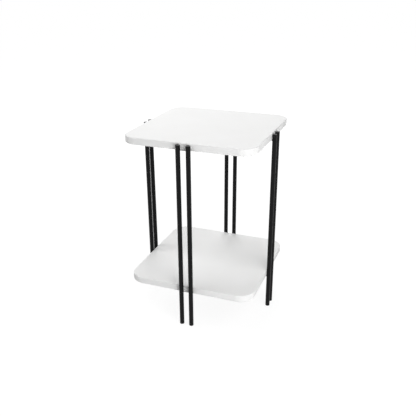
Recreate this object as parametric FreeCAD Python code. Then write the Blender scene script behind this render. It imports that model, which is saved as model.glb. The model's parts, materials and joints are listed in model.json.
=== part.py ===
"""End table with a shelf: two square boards carried by four pairs of upright steel tubes.

Frame: origin on the floor under the middle of the table, +Z up, front towards -Y.
All lengths are millimetres.
"""
import FreeCAD, Part
import math
import os

Vector = FreeCAD.Vector
UP = Vector(0, 0, 1)
ORIGIN = Vector(0, 0, 0)

# ---------------------------------------------------------------- driving dimensions
# Table
TABLE_HEIGHT = 509.0          # floor to the top surface
SHELF_HEIGHT = 114.5          # floor to the upper face of the shelf

# Boards: white-faced chipboard with a thick edge band all round
BOARD_SIDE = 350.0            # over the edge band, the same for top and shelf
BOARD_THICKNESS = 18.0
CORNER_RADIUS = 42.0          # in plan, over the edge band
BAND_THICKNESS = 2.0
ARRIS_RADIUS = 1.8            # rounding of the band's upper and lower arris
BAND_JOINT = 0.2              # gap where the two ends of the band meet
FACING_BREAK = 0.15           # eased edge of the facing, where the band was scraped flush

# Upright tubes, in one pair at the middle of each side
TUBE_DIAMETER = 12.0          # over the powder coat
TUBE_WALL = 1.2
PAIR_SPACING = 27.0           # between the axes of a pair
TUBE_TO_BAND = 0.1            # air between a tube and the band that it passes
TOP_DROP = 3.5                # the tubes end this far below the top surface

# Plastic plugs that close the tubes
FOOT_HEAD = 3.0               # height of the head that stands on the floor
FOOT_ROUNDING = 0.8
CAP_HEAD = 1.8                # height of the head that closes the upper end
CAP_ROUNDING = 0.7
PLUG_STEM = 9.0               # length pressed into the tube
STEM_LEAD_IN = 0.6            # chamfer at the end of the stem

# Sheet-steel brackets under both boards, welded to the tubes
BRACKET_THICKNESS = 1.5
NECK_SETBACK = 2.0            # edge of the neck between the tubes, in from the edge of the board
BRACKET_SETBACK = 10.0        # shoulders of the plate, in from the edge of the board
BRACKET_DEPTH = 26.0
BRACKET_SHOULDER = 7.0        # plate beyond the neck, along the side of the board
BRACKET_CORNER = 4.0
FINGER_WIDTH = 5.0            # of the two fingers that reach from the neck to the tubes
FINGER_FILLET = 2.0
WELD_LEG = 1.5
WELD_CROWN = 0.62             # how full the bead is: 0.5 is flat, 0.71 is a quarter circle

# Pan-head chipboard screws that hold a board down on its bracket
SCREW_DIAMETER = 3.5
SCREW_HOLE = 4.3
SCREW_HEAD_DIAMETER = 7.0
SCREW_HEAD_HEIGHT = 2.2
SCREW_HEAD_ROUNDING = 0.9
SCREW_POINT = 3.0             # length of the tapered end
SCREW_TIP_DIAMETER = 0.7
SCREW_SPACING = 26.0
BOARD_OVER_SCREW = 4.0        # board left above the point of a screw
RECESS_LENGTH = 3.6
RECESS_WIDTH = 0.9
RECESS_DEPTH = 1.3

# ---------------------------------------------------------------- derived dimensions
HALF_SIDE = BOARD_SIDE / 2
CORE_SIDE = BOARD_SIDE - 2 * BAND_THICKNESS
CORE_CORNER_RADIUS = CORNER_RADIUS - BAND_THICKNESS
TOP_UNDERSIDE = TABLE_HEIGHT - BOARD_THICKNESS
SHELF_UNDERSIDE = SHELF_HEIGHT - BOARD_THICKNESS

TUBE_RADIUS = TUBE_DIAMETER / 2
BORE_RADIUS = TUBE_RADIUS - TUBE_WALL
TUBE_BASE = FOOT_HEAD
TUBE_END = TABLE_HEIGHT - TOP_DROP - CAP_HEAD
TUBE_AXIS_Y = -(HALF_SIDE + TUBE_TO_BAND + TUBE_RADIUS)
HALF_SPACING = PAIR_SPACING / 2

NECK_Y = -HALF_SIDE + NECK_SETBACK
BRACKET_FRONT_Y = -HALF_SIDE + BRACKET_SETBACK
BRACKET_BACK_Y = BRACKET_FRONT_Y + BRACKET_DEPTH
HALF_FINGER = FINGER_WIDTH / 2
HALF_BRACKET = HALF_SPACING + HALF_FINGER + BRACKET_SHOULDER
SCREW_Y = (BRACKET_FRONT_Y + BRACKET_BACK_Y) / 2
SCREW_LENGTH = BRACKET_THICKNESS + BOARD_THICKNESS - BOARD_OVER_SCREW
WELD_HALF_ANGLE = math.degrees(math.asin(HALF_FINGER / (TUBE_RADIUS + WELD_LEG)))

# Each side of the table, counted anticlockwise from the front, with the names of its
# tube on the -X side and on the +X side when that side is turned to the front.
SIDES = (
    ("front", "left", "right"),
    ("right", "front", "rear"),
    ("rear", "right", "left"),
    ("left", "rear", "front"),
)
BOARD_UNDERSIDES = {"upper": TOP_UNDERSIDE, "lower": SHELF_UNDERSIDE}
SAME_POINT = 1e-4             # points and heights closer than this are one
MOST_ROUNDING = 0.9           # share of the band's thickness that its arris may take
MOST_FILLET = 0.3             # share of the bracket's shoulder, at the neck
MOST_CORNER = 0.6             # and at the outer corner


# ---------------------------------------------------------------- general helpers
def save(shape, node):
    """Write one node and say what it holds."""
    shape.exportStep("parts/" + node + ".step")
    print("%-28s %2d solid(s) %10.1f mm3" % (node, len(shape.Solids), shape.Volume))


def turned(shape, quarter_turns):
    """A copy of the shape, turned about the table's axis."""
    copy = shape.copy()
    copy.rotate(ORIGIN, UP, 90 * quarter_turns)
    return copy


def rounded_outline(corners):
    """A closed wire through (x, y, radius) corners, in order, in the plane z = 0."""
    starts, mids, ends = [], [], []
    for index, (x, y, radius) in enumerate(corners):
        before = corners[index - 1]
        after = corners[(index + 1) % len(corners)]
        corner = Vector(x, y, 0)
        towards_before = (Vector(before[0], before[1], 0) - corner).normalize()
        towards_after = (Vector(after[0], after[1], 0) - corner).normalize()
        half_angle = towards_before.getAngle(towards_after) / 2
        reach = radius / math.tan(half_angle)
        inward = (towards_before + towards_after).normalize()
        starts.append(corner + towards_before * reach)
        mids.append(corner + inward * (radius / math.sin(half_angle) - radius))
        ends.append(corner + towards_after * reach)
    edges = []
    for index in range(len(corners)):
        if corners[index][2] > 0:
            edges.append(Part.Arc(starts[index], mids[index], ends[index]).toShape())
        next_start = starts[(index + 1) % len(corners)]
        if ends[index].distanceToPoint(next_start) > SAME_POINT:
            edges.append(Part.LineSegment(ends[index], next_start).toShape())
    return Part.Wire(edges)


def plate(corners, base, thickness):
    """A flat plate with that outline, from height base upwards."""
    face = Part.Face(rounded_outline(corners))
    face.translate(Vector(0, 0, base))
    return face.extrude(UP * thickness)


def edges_at_height(shape, height):
    """The edges that lie wholly at that height."""
    found = []
    for edge in shape.Edges:
        box = edge.BoundBox
        if max(abs(box.ZMin - height), abs(box.ZMax - height)) < SAME_POINT:
            found.append(edge)
    return found


def cylinder(radius, base, end, x=0.0, y=0.0):
    """An upright cylinder between two heights."""
    return Part.makeCylinder(radius, end - base, Vector(x, y, base), UP)


# ---------------------------------------------------------------- boards
def square_block(side, corner_radius, base):
    """A board-thick block, square in plan with rounded corners."""
    half = side / 2
    corners = [(sx * half, sy * half, corner_radius) for sx, sy in ((-1, -1), (1, -1), (1, 1), (-1, 1))]
    return plate(corners, base, BOARD_THICKNESS)


def board_core(base, screws):
    """The faced chipboard, with the holes that its screws have cut."""
    core = square_block(CORE_SIDE, CORE_CORNER_RADIUS, base)
    rims = edges_at_height(core, base) + edges_at_height(core, base + BOARD_THICKNESS)
    return core.makeChamfer(FACING_BREAK, rims).cut(screws)


def edge_band(base):
    """The band round a board, with both arrises rounded and its ends meeting at the rear."""
    block = square_block(BOARD_SIDE, CORNER_RADIUS, base)
    arrises = edges_at_height(block, base) + edges_at_height(block, base + BOARD_THICKNESS)
    block = block.makeFillet(min(ARRIS_RADIUS, MOST_ROUNDING * BAND_THICKNESS), arrises)
    band = block.cut(square_block(CORE_SIDE, CORE_CORNER_RADIUS, base))
    joint_corner = Vector(-BAND_JOINT / 2, HALF_SIDE - BAND_THICKNESS, base)
    joint = Part.makeBox(BAND_JOINT, BAND_THICKNESS, BOARD_THICKNESS, joint_corner)
    return band.cut(joint)


# ---------------------------------------------------------------- tubes and their plugs
def tube(x):
    """One upright tube of the front pair."""
    outside = cylinder(TUBE_RADIUS, TUBE_BASE, TUBE_END, x, TUBE_AXIS_Y)
    bore = cylinder(BORE_RADIUS, TUBE_BASE, TUBE_END, x, TUBE_AXIS_Y)
    return outside.cut(bore)


def rounded_profile(head_height, rounding, stem_end):
    """Half of a plug's section, in the plane y = 0."""
    bend = rounding * (1 - math.sqrt(0.5))
    arc = Part.Arc(
        Vector(TUBE_RADIUS - rounding, 0, 0),
        Vector(TUBE_RADIUS - bend, 0, bend),
        Vector(TUBE_RADIUS, 0, rounding),
    )
    points = (
        (TUBE_RADIUS, rounding),
        (TUBE_RADIUS, head_height),
        (BORE_RADIUS, head_height),
        (BORE_RADIUS, stem_end - STEM_LEAD_IN),
        (BORE_RADIUS - STEM_LEAD_IN, stem_end),
        (0, stem_end),
        (0, 0),
        (TUBE_RADIUS - rounding, 0),
    )
    line = Part.makePolygon([Vector(x, 0, z) for x, z in points])
    return Part.Wire([arc.toShape()] + line.Edges)


def plug(head_height, rounding):
    """A tube plug with its visible face at z = 0 and its stem pointing up."""
    stem_end = head_height + PLUG_STEM
    profile = rounded_profile(head_height, rounding, stem_end)
    return Part.Face(profile).revolve(ORIGIN, UP, 360)


def foot(x):
    """The plug that a tube of the front pair stands on."""
    shape = plug(FOOT_HEAD, FOOT_ROUNDING)
    shape.translate(Vector(x, TUBE_AXIS_Y, 0))
    return shape


def cap(x):
    """The plug in the upper end of a tube of the front pair."""
    shape = plug(CAP_HEAD, CAP_ROUNDING)
    shape.rotate(ORIGIN, Vector(1, 0, 0), 180)
    shape.translate(Vector(x, TUBE_AXIS_Y, TUBE_END + CAP_HEAD))
    return shape


# ---------------------------------------------------------------- brackets, welds, screws
def bracket(board_underside):
    """The plate under the front of a board, with a neck and two fingers that reach the tubes."""
    outer = HALF_SPACING + HALF_FINGER
    inner = HALF_SPACING - HALF_FINGER
    fillet = min(FINGER_FILLET, MOST_FILLET * BRACKET_SHOULDER)
    corner = min(BRACKET_CORNER, MOST_CORNER * BRACKET_SHOULDER)
    right_half = [
        (inner, NECK_Y, fillet),
        (inner, TUBE_AXIS_Y, 0),
        (outer, TUBE_AXIS_Y, 0),
        (outer, BRACKET_FRONT_Y, fillet),
        (HALF_BRACKET, BRACKET_FRONT_Y, corner),
        (HALF_BRACKET, BRACKET_BACK_Y, corner),
    ]
    left_half = [(-x, y, radius) for x, y, radius in reversed(right_half)]
    base = board_underside - BRACKET_THICKNESS
    shape = plate(right_half + left_half, base, BRACKET_THICKNESS)
    for side in (-1, 1):
        tube_wall = cylinder(TUBE_RADIUS, base, board_underside, side * HALF_SPACING, TUBE_AXIS_Y)
        hole = cylinder(SCREW_HOLE / 2, base, board_underside, side * SCREW_SPACING / 2, SCREW_Y)
        shape = shape.cut(tube_wall).cut(hole)
    return shape


def weld(x, board_underside):
    """The fillet weld under one finger, round the inner side of its tube."""
    top = board_underside - BRACKET_THICKNESS
    bulge = WELD_CROWN * WELD_LEG
    crown = Part.Arc(
        Vector(TUBE_RADIUS + WELD_LEG, 0, top),
        Vector(TUBE_RADIUS + bulge, 0, top - bulge),
        Vector(TUBE_RADIUS, 0, top - WELD_LEG),
    )
    wall = Part.LineSegment(Vector(TUBE_RADIUS, 0, top - WELD_LEG), Vector(TUBE_RADIUS, 0, top))
    seat = Part.LineSegment(Vector(TUBE_RADIUS, 0, top), Vector(TUBE_RADIUS + WELD_LEG, 0, top))
    section = Part.Face(Part.Wire([crown.toShape(), wall.toShape(), seat.toShape()]))
    bead = section.revolve(ORIGIN, UP, 2 * WELD_HALF_ANGLE)
    bead.rotate(ORIGIN, UP, 90 - WELD_HALF_ANGLE)
    bead.translate(Vector(x, TUBE_AXIS_Y, 0))
    return bead


def screw(x, board_underside):
    """One screw, driven upwards through the bracket into the board."""
    seat = board_underside - BRACKET_THICKNESS
    point = seat + SCREW_LENGTH
    head = cylinder(SCREW_HEAD_DIAMETER / 2, seat - SCREW_HEAD_HEIGHT, seat, x, SCREW_Y)
    head = head.makeFillet(SCREW_HEAD_ROUNDING, edges_at_height(head, seat - SCREW_HEAD_HEIGHT))
    for length, width in ((RECESS_LENGTH, RECESS_WIDTH), (RECESS_WIDTH, RECESS_LENGTH)):
        corner = Vector(x - length / 2, SCREW_Y - width / 2, seat - SCREW_HEAD_HEIGHT)
        head = head.cut(Part.makeBox(length, width, RECESS_DEPTH, corner))
    shank = cylinder(SCREW_DIAMETER / 2, seat, point - SCREW_POINT, x, SCREW_Y)
    taper_base = Vector(x, SCREW_Y, point - SCREW_POINT)
    taper = Part.makeCone(SCREW_DIAMETER / 2, SCREW_TIP_DIAMETER / 2, SCREW_POINT, taper_base, UP)
    return head.fuse(shank).fuse(taper).removeSplitter()


def screws(board_underside):
    """Both screws of a front bracket."""
    return Part.makeCompound([screw(s * SCREW_SPACING / 2, board_underside) for s in (-1, 1)])


# ---------------------------------------------------------------- the table
def save_leg_pair(quarter_turns, side, first, second):
    """The tubes, plugs, brackets and welds on one side of the table."""
    for name, x in ((first, -HALF_SPACING), (second, HALF_SPACING)):
        save(turned(tube(x), quarter_turns), side + "_" + name + "_tube")
        save(turned(foot(x), quarter_turns), side + "_" + name + "_foot")
        save(turned(cap(x), quarter_turns), side + "_" + name + "_cap")
    beads = []
    for level, underside in BOARD_UNDERSIDES.items():
        save(turned(bracket(underside), quarter_turns), side + "_" + level + "_bracket")
        save(turned(screws(underside), quarter_turns), side + "_" + level + "_screws")
        beads += [weld(x, underside) for x in (-HALF_SPACING, HALF_SPACING)]
    save(turned(Part.makeCompound(beads), quarter_turns), side + "_welds")


def save_board(name, underside):
    """One board: its core and its edge band."""
    all_screws = Part.makeCompound([turned(screws(underside), turns) for turns in range(len(SIDES))])
    save(board_core(underside, all_screws), name + "_core")
    save(edge_band(underside), name + "_edge_band")


os.makedirs("parts", exist_ok=True)
save_board("top_board", TOP_UNDERSIDE)
save_board("shelf", SHELF_UNDERSIDE)
for turns, (side, first, second) in enumerate(SIDES):
    save_leg_pair(turns, side, first, second)
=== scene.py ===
import json
import math

import bpy
from mathutils import Matrix, Vector

# The table is shown by its CAD solids alone. This script gives them their materials and adds
# the floor, the lamps and the camera.
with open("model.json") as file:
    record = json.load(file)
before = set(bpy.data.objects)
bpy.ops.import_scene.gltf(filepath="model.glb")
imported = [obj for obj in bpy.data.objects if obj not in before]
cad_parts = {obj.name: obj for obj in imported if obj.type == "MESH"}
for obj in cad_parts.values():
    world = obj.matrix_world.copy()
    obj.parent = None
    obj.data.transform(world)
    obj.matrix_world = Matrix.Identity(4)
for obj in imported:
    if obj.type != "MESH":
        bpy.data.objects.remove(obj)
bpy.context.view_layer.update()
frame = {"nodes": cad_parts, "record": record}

# Lengths are metres, powers are watts and angles are degrees. An azimuth is where something
# stands round the table: 0 is in front of it, at -Y, and 90 is to its right, at +X.

# Camera: where it has to stand to give the photograph's view of a table of this size
CAMERA_AZIMUTH = 20.874
CAMERA_ELEVATION = 23.268
CAMERA_ROLL = -0.272
CAMERA_DISTANCE = 1.5794
CAMERA_TARGET = Vector((-0.0056, 0.0, 0.2699))
CAMERA_LENS = 48.49           # millimetres

# Lamps: square softboxes that face the table
LAMPS = {
    # name: (azimuth, elevation, distance, side, power)
    "key_right": (45, -3, 1.5, 0.6, 12.7),
    "front_left": (-45, 15, 2.4, 1.7, 12.0),
    "rear_left": (-135, 15, 2.4, 1.7, 18.0),
    "right_high": (45, 45, 2.4, 1.0, 13.0),
    "right_side": (75, 45, 2.4, 1.0, 10.8),
    "left_high": (-75, 45, 2.4, 1.0, 15.4),
    "rear_high": (-165, 45, 2.4, 1.0, 21.3),
    "overhead": (0, 89, 2.2, 1.6, 3.4),
}
LAMP_TARGET = Vector((0.0, 0.0, 0.3))
# This one is so low that its reflection would burn out a board seen from the far side.
GLARING_LAMP = "key_right"

# Floor
FLOOR_RADIUS = 14.0
FLOOR_CORNERS = 96
FLOOR_ALBEDO = 0.55           # of the floor that lights the table from below
SHADOW_ALBEDO = 0.16          # of the floor that is seen, so that the lamps draw a faint shadow
FLOOR_GLOW = 0.9              # own light of the floor that is seen, near the table; 1 is white
GLOW_RISES_FROM = 0.7         # distance from the middle where that light starts to rise
WHITE_FROM = 1.4              # distance where it has reached 1

# Nearly all values of a noise texture lie between these two.
NOISE_LOW = 0.3
NOISE_HIGH = 0.7


# ---------------------------------------------------------------- nodes
def add(tree, kind, **settings):
    """A new node with these attributes or input values."""
    node = tree.nodes.new(kind)
    for key, value in settings.items():
        if key in node.inputs:
            node.inputs[key].default_value = value
        else:
            setattr(node, key, value)
    return node


def grey(level):
    """An opaque neutral colour."""
    return (level, level, level, 1)


def noise(tree, cells, detail, roughness=0.5, stretch=(1, 1, 1)):
    """A noise texture in the table's own metres, with about that many cells to the metre."""
    place = add(tree, "ShaderNodeTexCoord")
    mapping = add(tree, "ShaderNodeMapping", Scale=stretch)
    tree.links.new(place.outputs["Object"], mapping.inputs["Vector"])
    texture = add(tree, "ShaderNodeTexNoise", Scale=cells, Detail=detail, Roughness=roughness)
    tree.links.new(mapping.outputs["Vector"], texture.inputs["Vector"])
    return texture.outputs["Fac"]


def spread(tree, factor, low, high, from_low=NOISE_LOW, from_high=NOISE_HIGH):
    """The factor mapped onto a range of plain numbers."""
    node = add(tree, "ShaderNodeMapRange")
    tree.links.new(factor, node.inputs["Value"])
    node.inputs["From Min"].default_value = from_low
    node.inputs["From Max"].default_value = from_high
    node.inputs["To Min"].default_value = low
    node.inputs["To Max"].default_value = high
    return node.outputs["Result"]


def tint(tree, factor, dark, light):
    """A noise mapped onto a range of colours."""
    ramp = add(tree, "ShaderNodeValToRGB")
    first, last = ramp.color_ramp.elements
    first.position = NOISE_LOW
    first.color = (*dark, 1)
    last.position = NOISE_HIGH
    last.color = (*light, 1)
    tree.links.new(factor, ramp.inputs["Fac"])
    return ramp.outputs["Color"]


# ---------------------------------------------------------------- materials
def new_material(name):
    """An empty node material and its node tree."""
    material = bpy.data.materials.new(name)
    material.use_nodes = True
    return material, material.node_tree


def finished(material, colour, roughness, relief, depth, specular=0.5, metallic=0.0):
    """The material, with these fields and levels on its shader and a relief depth metres high."""
    tree = material.node_tree
    shader = tree.nodes["Principled BSDF"]
    tree.links.new(colour, shader.inputs["Base Color"])
    tree.links.new(roughness, shader.inputs["Roughness"])
    bump = add(tree, "ShaderNodeBump", Strength=1.0, Distance=depth)
    tree.links.new(relief, bump.inputs["Height"])
    tree.links.new(bump.outputs["Normal"], shader.inputs["Normal"])
    shader.inputs["Specular IOR Level"].default_value = specular
    shader.inputs["Metallic"].default_value = metallic
    return material


def melamine():
    """Satin white melamine: a fine pearl grain and a faint cloudiness."""
    material, tree = new_material("white_melamine")
    clouds = noise(tree, cells=14, detail=3.0)
    grain = noise(tree, cells=1100, detail=3.0, roughness=0.6)
    colour = tint(tree, clouds, dark=(0.868, 0.868, 0.862), light=(0.884, 0.884, 0.880))
    roughness = spread(tree, grain, low=0.56, high=0.70)
    return finished(material, colour, roughness, relief=grain, depth=0.00005, specular=0.25)


def abs_band():
    """Satin white ABS edging, with the faint lines that its milling leaves along it."""
    material, tree = new_material("white_edge_band")
    clouds = noise(tree, cells=22, detail=3.0)
    lines = noise(tree, cells=60, detail=3.0, stretch=(1, 1, 40))
    colour = tint(tree, clouds, dark=(0.862, 0.862, 0.856), light=(0.880, 0.880, 0.876))
    roughness = spread(tree, lines, low=0.48, high=0.62)
    return finished(material, colour, roughness, relief=lines, depth=0.00003, specular=0.25)


def powder_coat():
    """Semi-gloss black powder coat with a fine orange peel."""
    material, tree = new_material("black_powder_coat")
    peel = noise(tree, cells=900, detail=2.0)
    patches = noise(tree, cells=25, detail=3.0)
    colour = tint(tree, patches, dark=(0.0035, 0.0035, 0.0038), light=(0.005, 0.005, 0.0053))
    roughness = spread(tree, patches, low=0.38, high=0.46)
    return finished(material, colour, roughness, relief=peel, depth=0.00007, specular=0.12)


def black_plastic():
    """Moulded black polyethylene with a fine spark-eroded grain."""
    material, tree = new_material("black_plastic")
    grain = noise(tree, cells=2500, detail=2.0)
    patches = noise(tree, cells=120, detail=2.0)
    colour = tint(tree, patches, dark=(0.004, 0.004, 0.0043), light=(0.007, 0.007, 0.0073))
    roughness = spread(tree, patches, low=0.48, high=0.60)
    return finished(material, colour, roughness, relief=grain, depth=0.00005, specular=0.15)


def zinc():
    """Bright zinc plating on the screws, with fine scratches along them."""
    material, tree = new_material("zinc_plating")
    scratches = noise(tree, cells=700, detail=4.0, stretch=(1, 1, 0.2))
    colour = tint(tree, scratches, dark=(0.52, 0.53, 0.55), light=(0.68, 0.69, 0.71))
    roughness = spread(tree, scratches, low=0.24, high=0.40)
    return finished(material, colour, roughness, relief=scratches, depth=0.00001, metallic=1.0)


MATERIALS = {
    "faced_chipboard": melamine(),
    "edge_band": abs_band(),
    "black_powder_coat": powder_coat(),
    "black_plastic": black_plastic(),
    "zinc_plated_steel": zinc(),
}


def dress_cad_nodes():
    """Gives every CAD node the finished material of its slot."""
    for subpart in frame["record"]["subparts"]:
        node = frame["nodes"][subpart["node"]]
        node.data.materials.clear()
        node.data.materials.append(MATERIALS[subpart["material_slot"]])


# ---------------------------------------------------------------- floor and background
def background_ray(tree):
    """1 for rays that see the background: from the camera, mirrored by gloss or through glass."""
    path = add(tree, "ShaderNodeLightPath")
    sees = path.outputs["Is Camera Ray"]
    for kind in ("Is Glossy Ray", "Is Transmission Ray"):
        either = add(tree, "ShaderNodeMath", operation="MAXIMUM")
        tree.links.new(sees, either.inputs[0])
        tree.links.new(path.outputs[kind], either.inputs[1])
        sees = either.outputs[0]
    return sees


def seen_floor(tree):
    """The floor as it is seen: its own light and a little of the lamps', which the table shades."""
    shadow = add(tree, "ShaderNodeBsdfDiffuse", Color=grey(SHADOW_ALBEDO))
    glow = add(tree, "ShaderNodeEmission", Color=grey(1))
    place = add(tree, "ShaderNodeTexCoord")
    reach = add(tree, "ShaderNodeVectorMath", operation="LENGTH")
    tree.links.new(place.outputs["Object"], reach.inputs[0])
    strength = spread(tree, reach.outputs["Value"], FLOOR_GLOW, 1.0, GLOW_RISES_FROM, WHITE_FROM)
    tree.links.new(strength, glow.inputs["Strength"])
    both = add(tree, "ShaderNodeAddShader")
    tree.links.new(shadow.outputs[0], both.inputs[0])
    tree.links.new(glow.outputs[0], both.inputs[1])
    return both.outputs[0]


def add_floor():
    """A wide pale floor, which bounces light as such a floor does but is seen as white."""
    bpy.ops.mesh.primitive_circle_add(vertices=FLOOR_CORNERS, radius=FLOOR_RADIUS, fill_type="NGON")
    floor = bpy.context.object
    floor.name = "floor"
    material, tree = new_material("pale_floor")
    tree.nodes.clear()
    lit = add(tree, "ShaderNodeBsdfDiffuse", Color=grey(FLOOR_ALBEDO))
    mix = add(tree, "ShaderNodeMixShader")
    tree.links.new(background_ray(tree), mix.inputs["Fac"])
    tree.links.new(lit.outputs[0], mix.inputs[1])
    tree.links.new(seen_floor(tree), mix.inputs[2])
    output = add(tree, "ShaderNodeOutputMaterial")
    tree.links.new(mix.outputs[0], output.inputs["Surface"])
    floor.data.materials.append(material)


def add_world():
    """A white background for the eye and for reflections, which sheds no light on the table."""
    world = bpy.data.worlds.new("studio")
    bpy.context.scene.world = world
    world.use_nodes = True
    tree = world.node_tree
    background = tree.nodes["Background"]
    background.inputs["Color"].default_value = grey(1)
    tree.links.new(background_ray(tree), background.inputs["Strength"])


# ---------------------------------------------------------------- lamps and camera
def direction(azimuth, elevation):
    """The unit vector from the table towards a place at these angles."""
    around = math.radians(azimuth)
    above = math.radians(elevation)
    outward = math.cos(above)
    return Vector((math.sin(around) * outward, -math.cos(around) * outward, math.sin(above)))


def add_lamp(name, azimuth, elevation, distance, side, power):
    """One square softbox that faces the table."""
    light = bpy.data.lights.new(name, "AREA")
    light.size = side
    light.energy = power
    lamp = bpy.data.objects.new(name, light)
    bpy.context.scene.collection.objects.link(lamp)
    back = direction(azimuth, elevation)
    lamp.location = LAMP_TARGET + back * distance
    lamp.rotation_euler = back.to_track_quat("Z", "Y").to_euler()
    lamp.visible_glossy = name != GLARING_LAMP


def add_camera():
    """The camera at the photograph's viewpoint."""
    data = bpy.data.cameras.new("camera")
    data.lens = CAMERA_LENS
    camera = bpy.data.objects.new("camera", data)
    bpy.context.scene.collection.objects.link(camera)
    back = direction(CAMERA_AZIMUTH, CAMERA_ELEVATION)
    right = Vector((0, 0, 1)).cross(back).normalized()
    up = back.cross(right)
    upright = Matrix((right, up, back)).transposed()
    turn = upright @ Matrix.Rotation(math.radians(CAMERA_ROLL), 3, "Z")
    place = Matrix.Translation(CAMERA_TARGET + back * CAMERA_DISTANCE)
    camera.matrix_world = place @ turn.to_4x4()
    bpy.context.scene.camera = camera


dress_cad_nodes()
add_floor()
add_world()
for lamp_name, settings in LAMPS.items():
    add_lamp(lamp_name, *settings)
add_camera()
bpy.context.scene.view_settings.view_transform = "Standard"
